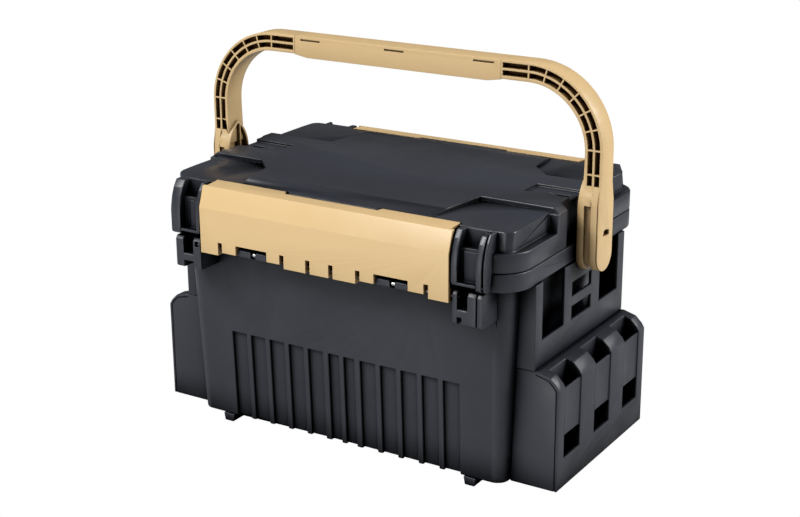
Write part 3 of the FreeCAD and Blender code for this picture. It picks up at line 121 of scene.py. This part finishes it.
# Studio: lights as name, place, aim, size (m) and power (W)
LIGHTS = (
    ("front_left", (-1.5, -2.0, 2.6), (0.15, 0, 0.15), (1.6, 1.2), 158),
    ("front_low", (-0.2, -1.8, 0.25), (0.25, 0, 0.15), (0.7, 0.4), 8),
    ("right_end", (1.2, 0.5, 0.85), (0.2, 0, 0.25), (0.6, 0.6), 25),
)
WHITE = (1, 1, 1, 1)
FLOOR_HALF = 6.0
FLOOR_GREY = (0.45, 0.45, 0.45, 1)
FLOOR_ROUGHNESS = 0.9
AIR_LIGHT = 0.14
EYE = Vector((0.7670, -1.2351, 0.6553))
TARGET = Vector((0.00076, -0.00409, 0.1642))
SENSOR = 36.0
LENS = 71.22
ROLL = math.radians(-0.33)


# ---- sizes and colours -----------------------------------------------------------

class TackleBoxSizes(bpy.types.PropertyGroup):
    """Sizes of the moulded finish"""
    shell_edge: FloatProperty(name="Shell edge", description="Eased edge of the tub and the lid",
                              default=0.0012, unit="LENGTH")
    small_edge: FloatProperty(name="Small part edge", description="Eased edge of lugs and brackets",
                              default=0.0007, unit="LENGTH")
    tan_edge: FloatProperty(name="Latch edge", description="Eased edge of the latches and the handle",
                            default=0.0004, unit="LENGTH")
    grain: FloatProperty(name="Grain", description="Depth of the moulded grain",
                         default=0.00006, unit="LENGTH")


class TackleBoxColours(bpy.types.PropertyGroup):
    """Colours of the plastics and the steel"""
    charcoal: FloatVectorProperty(name="Charcoal", description="Body plastic", subtype="COLOR",
                                  size=3, default=(0.020, 0.0225, 0.030), min=0, max=1)
    tan: FloatVectorProperty(name="Tan", description="Latch and handle plastic", subtype="COLOR",
                             size=3, default=(0.60, 0.42, 0.205), min=0, max=1)
    steel: FloatVectorProperty(name="Steel", description="Hinge rods", subtype="COLOR",
                               size=3, default=(0.62, 0.62, 0.61), min=0, max=1)


def sizes():
    """The sizes that the scene holds."""
    return bpy.context.scene.tackle_box_sizes


def colours():
    """The colours that the scene holds."""
    return bpy.context.scene.tackle_box_colours


# ---- materials -------------------------------------------------------------------

class Finish:
    """A material under construction, with short calls for its nodes."""

    def __init__(self, name):
        self.material = bpy.data.materials.new(name)
        self.material.use_nodes = True
        self.tree = self.material.node_tree
        self.shader = self.tree.nodes["Principled BSDF"]
        self.place = self.tree.nodes.new("ShaderNodeTexCoord").outputs["Object"]

    def node(self, kind, **values):
        """A new shader node with its inputs or settings filled in."""
        made = self.tree.nodes.new(kind)
        for key, value in values.items():
            if key in made.inputs:
                made.inputs[key].default_value = value
            else:
                setattr(made, key, value)
        return made

    def link(self, out, socket):
        """Join an output to a socket."""
        self.tree.links.new(out, socket)

    def noise(self, scale, detail, rough=0.5, stretch=None):
        """Noise over the piece, stretched along an axis where asked."""
        source = self.place
        if stretch:
            spread = self.node("ShaderNodeMapping")
            spread.inputs["Scale"].default_value = stretch
            self.link(source, spread.inputs["Vector"])
            source = spread.outputs["Vector"]
        made = self.node("ShaderNodeTexNoise", Scale=scale, Detail=detail, Roughness=rough)
        self.link(source, made.inputs["Vector"])
        return made.outputs["Fac"]

    def ramp(self, source, low, high, start=0.35, end=0.65):
        """The source's span from start to end turned into the span from low to high."""
        made = self.node("ShaderNodeMapRange")
        spans = (("From Min", start), ("From Max", end), ("To Min", low), ("To Max", high))
        for key, value in spans:
            made.inputs[key].default_value = value
        self.link(source, made.inputs["Value"])
        return made.outputs["Result"]

    def mix(self, factor, first):
        """A colour mix that starts from the first colour: its second socket and its result."""
        made = self.node("ShaderNodeMix", data_type="RGBA")
        self.link(factor, made.inputs["Factor"])
        low, high = [socket for socket in made.inputs if socket.type == "RGBA"]
        low.default_value = (*first, 1)
        result = [socket for socket in made.outputs if socket.type == "RGBA"][0]
        return high, result

    def tones(self, factor, colour, spread):
        """The colour drifting between a darker and a paler tone."""
        dark, pale = spread
        high, result = self.mix(self.ramp(factor, 0.0, 1.0), shade(colour, dark))
        high.default_value = (*shade(colour, pale), 1)
        return result

    def painted_shade_mask(self, reach, closed, clear):
        """Mask for painted shade, from ambient occlusion: 0 in a deep recess and 1 on a plain face.
        """
        made = self.node("ShaderNodeAmbientOcclusion", samples=8, Distance=reach)
        return self.ramp(made.outputs["AO"], 0.0, 1.0, closed, clear)

    def paint_shade_in_recesses(self, factor, colour, deep):
        """Painted shade: the plain colour in the open, the deep colour in recesses."""
        high, result = self.mix(factor, deep)
        self.link(colour, high)
        return result

    def feed(self, source, name):
        """Drive an input of the surface shader."""
        self.link(source, self.shader.inputs[name])

    def bump(self, heights, distance):
        """Stack heights, each with its strength, on the surface normal."""
        previous = None
        for height, strength in heights:
            made = self.node("ShaderNodeBump", Strength=strength, Distance=distance)
            self.link(height, made.inputs["Height"])
            if previous:
                self.link(previous, made.inputs["Normal"])
            previous = made.outputs["Normal"]
        self.link(previous, self.shader.inputs["Normal"])


def shade(colour, factor):
    """The colour made darker or paler by a factor."""
    return tuple(min(1.0, c * factor) for c in colour)


def charcoal_plastic(name):
    """Satin charcoal plastic with fine spark grain, a faint cloudiness from the mould, and painted
    shade in recesses.
    """
    rough_low, rough_high, grain_scale, reach = CHARCOAL_MOULDINGS[name]
    made = Finish(name)
    base = tuple(colours().charcoal)
    colour = made.tones(made.noise(**CHARCOAL_CLOUD), base, CHARCOAL_TONES)
    # Painted shade: recesses darkened by ambient occlusion, with their shine lowered too
    painted_shade_openness = made.painted_shade_mask(reach, *CHARCOAL_PAINTED_SHADE_SPAN)
    made.feed(made.paint_shade_in_recesses(painted_shade_openness, colour, shade(base, CHARCOAL_PAINTED_SHADE)), "Base Color")
    made.feed(made.ramp(made.noise(**CHARCOAL_WEAR), rough_low, rough_high), "Roughness")
    made.feed(made.ramp(painted_shade_openness, 0.0, CHARCOAL_SHINE, 0.0, 1.0), "Specular IOR Level")
    grain = made.noise(grain_scale, **CHARCOAL_GRAIN)
    ripple = made.noise(**CHARCOAL_RIPPLE)
    made.bump([(grain, CHARCOAL_GRAIN_DEPTH), (ripple, CHARCOAL_RIPPLE_DEPTH)], sizes().grain)
    return made.material


def tan_plastic(name):
    """Warm tan plastic, a little glossier than the body, with faint flow marks and painted shade in
    recesses.
    """
    rough_low, rough_high, depth, shine = TAN_MOULDINGS[name]
    made = Finish(name)
    base = shade(colours().tan, depth)
    colour = made.tones(made.noise(**TAN_FLOW), base, TAN_TONES)
    # Painted shade: recesses darkened by ambient occlusion, with their shine lowered too
    painted_shade_openness = made.painted_shade_mask(TAN_PAINTED_SHADE_REACH, *TAN_PAINTED_SHADE_SPAN)
    deep = tuple(part * share for part, share in zip(base, TAN_PAINTED_SHADE))
    made.feed(made.paint_shade_in_recesses(painted_shade_openness, colour, deep), "Base Color")
    made.feed(made.ramp(made.noise(**TAN_WEAR), rough_low, rough_high), "Roughness")
    made.feed(made.ramp(painted_shade_openness, 0.0, shine, 0.0, 1.0), "Specular IOR Level")
    grain, ripple = made.noise(**TAN_GRAIN), made.noise(**TAN_RIPPLE)
    made.bump([(grain, TAN_GRAIN_DEPTH), (ripple, TAN_RIPPLE_DEPTH)], sizes().grain)
    return made.material


def drawn_steel(name):
    """Bright drawn wire with fine lines along its length."""
    made = Finish(name)
    lines = made.noise(**STEEL_LINES)
    made.feed(made.tones(lines, tuple(colours().steel), STEEL_TONES), "Base Color")
    made.shader.inputs["Metallic"].default_value = 1.0
    made.feed(made.ramp(lines, *STEEL_ROUGHNESS), "Roughness")
    made.bump([(lines, STEEL_LINE_DEPTH)], STEEL_BUMP)
    return made.material


# ---- pieces ----------------------------------------------------------------------

def room_beside(edge):
    """How much surface lies beside an edge before the next corner."""
    along = (edge.verts[1].co - edge.verts[0].co).normalized()
    least = 1.0
    for vert in edge.verts:
        for other in vert.link_edges:
            if other is edge or not any(face in edge.link_faces for face in other.link_faces):
                continue
            side = other.other_vert(vert).co - vert.co
            across = (side - along * side.dot(along)).length
            if across > ACROSS_SHARE * side.length:
                least = min(least, across)
    return least


def eased_copy(node, width, segments):
    """A closed copy of a moulded node whose sharp edges are rounded where there is room."""
    mesh = NODES[node].data.copy()
    mesh.name = node + "_moulded"
    obj = bpy.data.objects.new(node + "_moulded", mesh)
    bpy.context.scene.collection.objects.link(obj)
    solid = bmesh.new()
    solid.from_mesh(mesh)
    bmesh.ops.remove_doubles(solid, verts=solid.verts, dist=WELD)
    bmesh.ops.dissolve_limit(solid, angle_limit=FLAT_TURN, use_dissolve_boundaries=False,
                             verts=solid.verts, edges=solid.edges)
    solid.normal_update()
    weight = solid.edges.layers.float.new("bevel_weight_edge")
    for face in solid.faces:
        face.smooth = True
    for edge in solid.edges:
        if not edge.is_manifold:
            continue
        turn, room = edge.calc_face_angle(0), room_beside(edge)
        if turn > CORNER_TURN or (turn > CREASE_TURN and room > CREASE_ROOM):
            edge[weight] = max(LEAST_WEIGHT, min(1.0, ROOM_SHARE * room / width))
    solid.to_mesh(mesh)
    solid.free()
    mesh.materials.clear()
    ease = obj.modifiers.new("Eased edges", "BEVEL")
    ease.limit_method = "WEIGHT"
    ease.width = width
    ease.segments = segments
    ease.use_clamp_overlap = False
    ease.harden_normals = True
    return obj


def dress(nodes, body, material, width, segments=EDGE_SEGMENTS):
    """Rounded pieces that stand for these nodes, in one material."""
    for node in nodes:
        piece = eased_copy(node, width, segments)
        piece.data.materials.append(material)
        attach(piece, body)
        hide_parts(node)


class TACKLEBOX_OT_tub(bpy.types.Operator):
    """Dress the tub shell, its end frames, brackets and feet"""
    bl_idname = "tackle_box.tub"
    bl_label = "Tub"

    def execute(self, context):
        shell = charcoal_plastic("charcoal_shell")
        dress(TUB_SHELL, "tub", shell, sizes().shell_edge)
        frames = charcoal_plastic("charcoal_frames")
        small = charcoal_plastic("charcoal_brackets")
        dress(TUB_BRACKETS + TUB_FEET, "tub", small, sizes().small_edge)
        dress(TUB_FRAMES, "tub", frames, sizes().small_edge)
        return {"FINISHED"}


class TACKLEBOX_OT_rod_holders(bpy.types.Operator):
    """Dress the rod holders on the two ends"""
    bl_idname = "tackle_box.rod_holders"
    bl_label = "Rod holders"

    def execute(self, context):
        finish = charcoal_plastic("charcoal_holders")
        dress(TUB_HOLDERS, "tub", finish, sizes().shell_edge)
        return {"FINISHED"}


class TACKLEBOX_OT_lid(bpy.types.Operator):
    """Dress the lid and its corner lugs"""
    bl_idname = "tackle_box.lid"
    bl_label = "Lid"

    def execute(self, context):
        top = charcoal_plastic("charcoal_lid")
        dress(LID_SHELL, "lid", top, sizes().shell_edge)
        lugs = charcoal_plastic("charcoal_lugs")
        dress(LID_LUGS, "lid", lugs, sizes().small_edge)
        return {"FINISHED"}


class TACKLEBOX_OT_latches(bpy.types.Operator):
    """Dress the two long latches"""
    bl_idname = "tackle_box.latches"
    bl_label = "Latches"

    def execute(self, context):
        finish = tan_plastic("tan_latches")
        for node in ("front_latch", "rear_latch"):
            dress((node,), node, finish, sizes().tan_edge)
        return {"FINISHED"}


class TACKLEBOX_OT_handle(bpy.types.Operator):
    """Dress the carry handle and its grip"""
    bl_idname = "tackle_box.handle"
    bl_label = "Handle"

    def execute(self, context):
        bail = tan_plastic("tan_handle")
        dress(("handle",), "handle", bail, sizes().tan_edge)
        grip = tan_plastic("tan_grip")
        dress(("handle_grip",), "handle", grip, sizes().tan_edge, GRIP_SEGMENTS)
        return {"FINISHED"}


class TACKLEBOX_OT_steel(bpy.types.Operator):
    """Finish the steel rods and pivot pins"""
    bl_idname = "tackle_box.steel"
    bl_label = "Steel rods and pins"

    def execute(self, context):
        finish = drawn_steel("drawn_steel")
        for node in STEEL_NODES:
            mesh = NODES[node].data
            mesh.materials.clear()
            mesh.materials.append(finish)
        return {"FINISHED"}


# ---- stage -----------------------------------------------------------------------

def area_light(name, place, aim, size, power):
    """A rectangular lamp at a place, turned to its aim."""
    light = bpy.data.lights.new(name, "AREA")
    light.shape = "RECTANGLE"
    light.size, light.size_y = size
    light.energy = power
    lamp = bpy.data.objects.new(name, light)
    lamp.location = place
    lamp.rotation_euler = (Vector(aim) - Vector(place)).to_track_quat("-Z", "Y").to_euler()
    bpy.context.scene.collection.objects.link(lamp)


def seen_or_lit(tree, seen, lit, output):
    """One shader for what the camera sees, another for the light that reaches the part."""
    path = tree.nodes.new("ShaderNodeLightPath")
    mix = tree.nodes.new("ShaderNodeMixShader")
    tree.links.new(path.outputs["Is Camera Ray"], mix.inputs[0])
    tree.links.new(lit.outputs[0], mix.inputs[1])
    tree.links.new(seen.outputs[0], mix.inputs[2])
    tree.links.new(mix.outputs[0], tree.nodes[output].inputs["Surface"])


def white_floor():
    """A floor that looks white and lights the part only a little."""
    made = Finish("studio_floor")
    made.shader.inputs["Base Color"].default_value = FLOOR_GREY
    made.shader.inputs["Roughness"].default_value = FLOOR_ROUGHNESS
    made.shader.inputs["Specular IOR Level"].default_value = 0.0
    glow = made.node("ShaderNodeEmission", Strength=1.0)
    glow.inputs["Color"].default_value = WHITE
    seen_or_lit(made.tree, glow, made.shader, "Material Output")
    return made.material


def lay_floor():
    """The wide floor the part stands on."""
    mesh = bpy.data.meshes.new("floor")
    sheet = bmesh.new()
    bmesh.ops.create_grid(sheet, x_segments=2, y_segments=2, size=FLOOR_HALF)
    sheet.to_mesh(mesh)
    sheet.free()
    floor = bpy.data.objects.new("floor", mesh)
    bpy.context.scene.collection.objects.link(floor)
    floor.data.materials.append(white_floor())


def white_air():
    """A background that looks white and lights the part only a little."""
    world = bpy.data.worlds.new("studio")
    world.use_nodes = True
    sky = world.node_tree.nodes["Background"]
    bright = world.node_tree.nodes.new("ShaderNodeBackground")
    for background, strength in ((sky, AIR_LIGHT), (bright, 1.0)):
        background.inputs["Color"].default_value = WHITE
        background.inputs["Strength"].default_value = strength
    seen_or_lit(world.node_tree, bright, sky, "World Output")
    return world


def aim_camera():
    """The camera at the eye, turned to its target with a slight roll."""
    camera = bpy.data.objects.new("camera", bpy.data.cameras.new("camera"))
    bpy.context.scene.collection.objects.link(camera)
    camera.data.sensor_width = SENSOR
    camera.data.lens = LENS
    ahead = (TARGET - EYE).normalized()
    right = ahead.cross(Vector((0, 0, 1))).normalized()
    up = right.cross(ahead)
    turn = Matrix((right, up, -ahead)).transposed().to_4x4()
    camera.matrix_world = Matrix.Translation(EYE) @ turn @ Matrix.Rotation(ROLL, 4, "Z")
    return camera


class TACKLEBOX_OT_stage(bpy.types.Operator):
    """Set the pale floor, the soft lights and the camera"""
    bl_idname = "tackle_box.stage"
    bl_label = "Studio"

    def execute(self, context):
        lay_floor()
        context.scene.world = white_air()
        context.scene.view_settings.view_transform = "Standard"
        for light in LIGHTS:
            area_light(*light)
        context.scene.camera = aim_camera()
        return {"FINISHED"}


class TACKLEBOX_PT_panel(bpy.types.Panel):
    """Lists the pieces, sizes and colours of the tackle box"""
    bl_label = "Tackle Box"
    bl_idname = "TACKLEBOX_PT_panel"
    bl_space_type = "VIEW_3D"
    bl_region_type = "UI"
    bl_category = "Tackle Box"

    def draw(self, context):
        for group in (context.scene.tackle_box_sizes, context.scene.tackle_box_colours):
            for name in group.__annotations__:
                self.layout.prop(group, name)
        for operator in OPERATORS:
            self.layout.operator(operator.bl_idname)


OPERATORS = (TACKLEBOX_OT_stage, TACKLEBOX_OT_tub, TACKLEBOX_OT_rod_holders, TACKLEBOX_OT_lid,
             TACKLEBOX_OT_latches, TACKLEBOX_OT_handle, TACKLEBOX_OT_steel)
CLASSES = (TackleBoxSizes, TackleBoxColours) + OPERATORS + (TACKLEBOX_PT_panel,)


def register():
    """Add the classes and the scene's settings."""
    for item in CLASSES:
        bpy.utils.register_class(item)
    bpy.types.Scene.tackle_box_sizes = PointerProperty(type=TackleBoxSizes)
    bpy.types.Scene.tackle_box_colours = PointerProperty(type=TackleBoxColours)


def unregister():
    """Take the settings and the classes away again."""
    del bpy.types.Scene.tackle_box_colours
    del bpy.types.Scene.tackle_box_sizes
    for item in reversed(CLASSES):
        bpy.utils.unregister_class(item)


def main():
    """Register the tools, set the stage and dress every piece."""
    register()
    bpy.ops.tackle_box.stage()
    bpy.ops.tackle_box.tub()
    bpy.ops.tackle_box.rod_holders()
    bpy.ops.tackle_box.lid()
    bpy.ops.tackle_box.latches()
    bpy.ops.tackle_box.handle()
    bpy.ops.tackle_box.steel()


if __name__ == "__main__":
    main()
